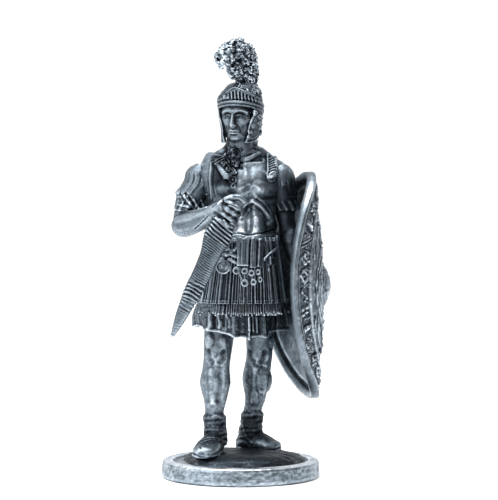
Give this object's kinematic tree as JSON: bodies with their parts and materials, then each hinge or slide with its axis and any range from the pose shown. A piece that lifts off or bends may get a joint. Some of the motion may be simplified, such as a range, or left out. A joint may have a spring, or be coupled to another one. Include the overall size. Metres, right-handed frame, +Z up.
{
  "type": "miniature soldier figure",
  "caption": "Cast tin miniature of a standing ancient foot officer in muscled cuirass and plumed helmet, sheathed sword in hand, curved oval shield at his side, on a round base.",
  "frame": {"origin": "centre of the round base's flat underside", "axes": "+Z up through the figure, -Y the way the soldier faces, +X towards his left, the shield's side"},
  "size_m": [0.027, 0.025, 0.0699],
  "materials": {
    "antique_tin": "cast tin alloy, blackened in the recesses and polished bright on the raised edges, satin",
    "worn_tin": "turned tin alloy base, blackened and rubbed back, satin"
  },
  "bodies": {
    "root": {"soldier": "antique_tin", "shield": "antique_tin", "round_base": "worn_tin"}
  },
  "joints": []
}
